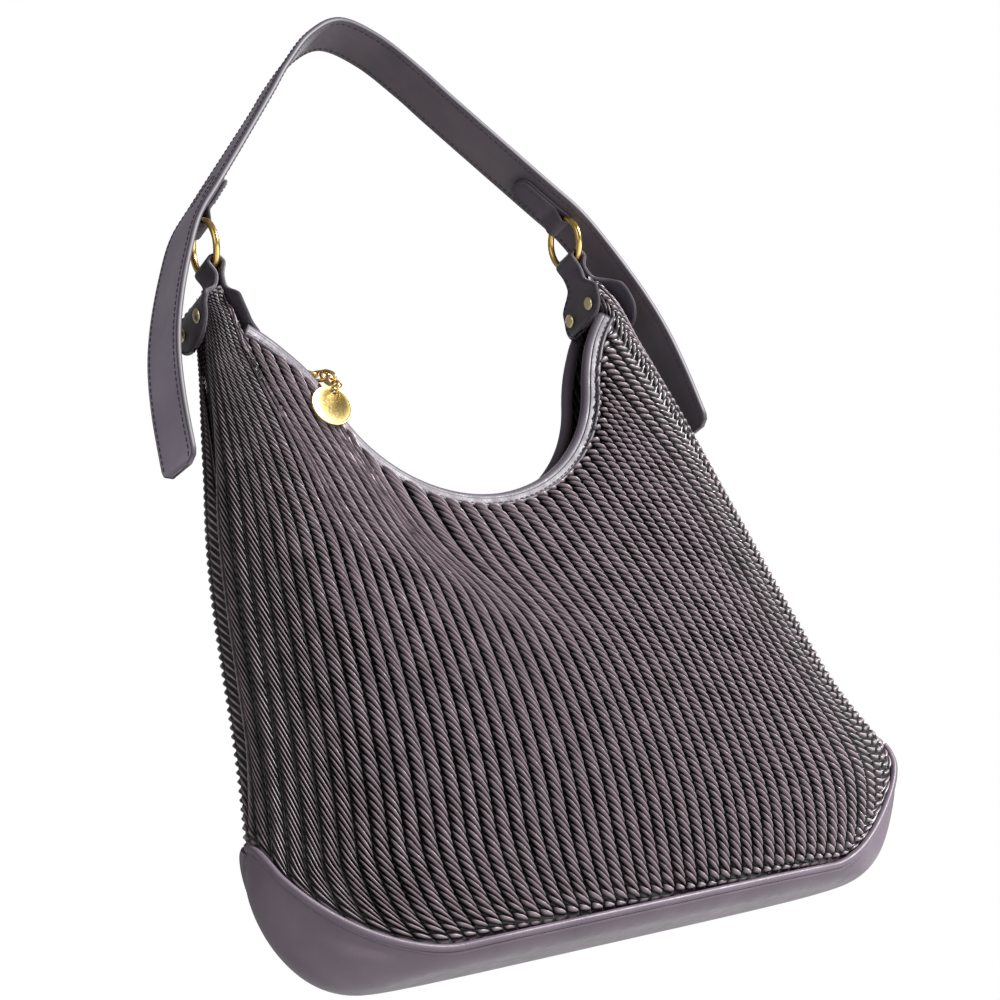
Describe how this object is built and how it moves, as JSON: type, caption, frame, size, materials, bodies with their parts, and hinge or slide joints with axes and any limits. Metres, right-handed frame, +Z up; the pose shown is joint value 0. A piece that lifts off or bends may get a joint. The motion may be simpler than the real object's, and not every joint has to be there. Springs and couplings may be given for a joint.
{
  "type": "hobo bag",
  "caption": "Pleated hobo shoulder bag on a smooth leather base, with a curved zip mouth, a strap on two round rings and a blank disc charm on a short chain.",
  "frame": {"origin": "under the middle of the bag's length, on the plane the base stands on", "axes": "+X along the bag to the end away from the charm, +Y towards the back, +Z up to the strap's crest"},
  "size_m": [0.427, 0.068, 0.5798],
  "materials": {
    "rope": "satin, dark taupe, pleated into twisted ropes",
    "leather": "smooth satin, mauve grey",
    "lining": "matt woven lining",
    "board": "stiff fibre board",
    "tape": "woven zip tape",
    "brass": "polished",
    "pale_brass": "polished, pale"
  },
  "bodies": {
    "bag": {"front_panel": "rope", "back_panel": "rope", "lining_front": "lining", "lining_back": "lining", "lining_floor": "lining", "base_panel": "leather", "base_piping_front": "leather", "base_piping_back": "leather", "rim_binding_front": "leather", "rim_binding_back": "leather", "anchor_tab_left": "leather", "anchor_tab_right": "leather", "base_board": "board", "zip_tape_front": "tape", "zip_tape_back": "tape", "zip_row_front": "brass", "zip_row_back": "brass", "zip_stop_right_front": "brass", "zip_stop_right_back": "brass", "zip_stop_left": "brass", "rivet_left_front": "pale_brass", "rivet_left_back": "pale_brass", "rivet_right_front": "pale_brass", "rivet_right_back": "pale_brass"},
    "strap": {"strap_outer": "leather", "strap_lining": "leather", "strap_tab_left": "leather", "strap_tab_right": "leather"},
    "ring_left": {"ring_left": "brass"},
    "ring_right": {"ring_right": "brass"},
    "zip_slider": {"zip_slider": "brass"},
    "chain_link_1": {"chain_link_1": "brass"},
    "chain_link_2": {"chain_link_2": "brass"},
    "chain_link_3": {"chain_link_3": "brass"},
    "chain_link_4": {"chain_link_4": "brass"},
    "charm_jump_ring": {"charm_jump_ring": "brass"},
    "charm_disc": {"charm_disc": "brass"}
  },
  "joints": [
    {"name": "strap_swing", "type": "hinge", "parent": "bag", "child": "strap", "pos_m": [-0.018, 0, 0.428], "axis": [1, 0, 0], "range_deg": [-90, 90]},
    {"name": "ring_left_spin", "type": "hinge", "parent": "bag", "child": "ring_left", "pos_m": [-0.143, 0, 0.428], "axis": [1, 0, 0], "continuous": true},
    {"name": "ring_right_spin", "type": "hinge", "parent": "bag", "child": "ring_right", "pos_m": [0.107, 0, 0.428], "axis": [1, 0, 0], "continuous": true},
    {"name": "zip_travel", "type": "hinge", "parent": "bag", "child": "zip_slider", "pos_m": [-0.0115, 0, 0.348], "axis": [0, -1, 0], "range_deg": [0, 145]},
    {"name": "chain_link_1_swing", "type": "hinge", "parent": "zip_slider", "child": "chain_link_1", "pos_m": [-0.10931, 0, 0.34639], "axis": [0, -1, 0], "range_deg": [0, 10]},
    {"name": "chain_link_2_swing", "type": "hinge", "parent": "chain_link_1", "child": "chain_link_2", "pos_m": [-0.10193, -0.00254, 0.34383], "axis": [-1, 0, 0], "range_deg": [0, 10]},
    {"name": "chain_link_3_swing", "type": "hinge", "parent": "chain_link_2", "child": "chain_link_3", "pos_m": [-0.09706, -0.00849, 0.34028], "axis": [-1, 0, 0], "range_deg": [0, 10]},
    {"name": "chain_link_4_swing", "type": "hinge", "parent": "chain_link_3", "child": "chain_link_4", "pos_m": [-0.09584, -0.01511, 0.33578], "axis": [-1, 0, 0], "range_deg": [0, 10]},
    {"name": "jump_ring_swing", "type": "hinge", "parent": "chain_link_4", "child": "charm_jump_ring", "pos_m": [-0.09732, -0.02262, 0.32837], "axis": [-1, 0, 0], "range_deg": [0, 8]},
    {"name": "charm_swing", "type": "hinge", "parent": "charm_jump_ring", "child": "charm_disc", "pos_m": [-0.10084, -0.02372, 0.32219], "axis": [-1, 0, 0], "range_deg": [0, 30]}
  ]
}
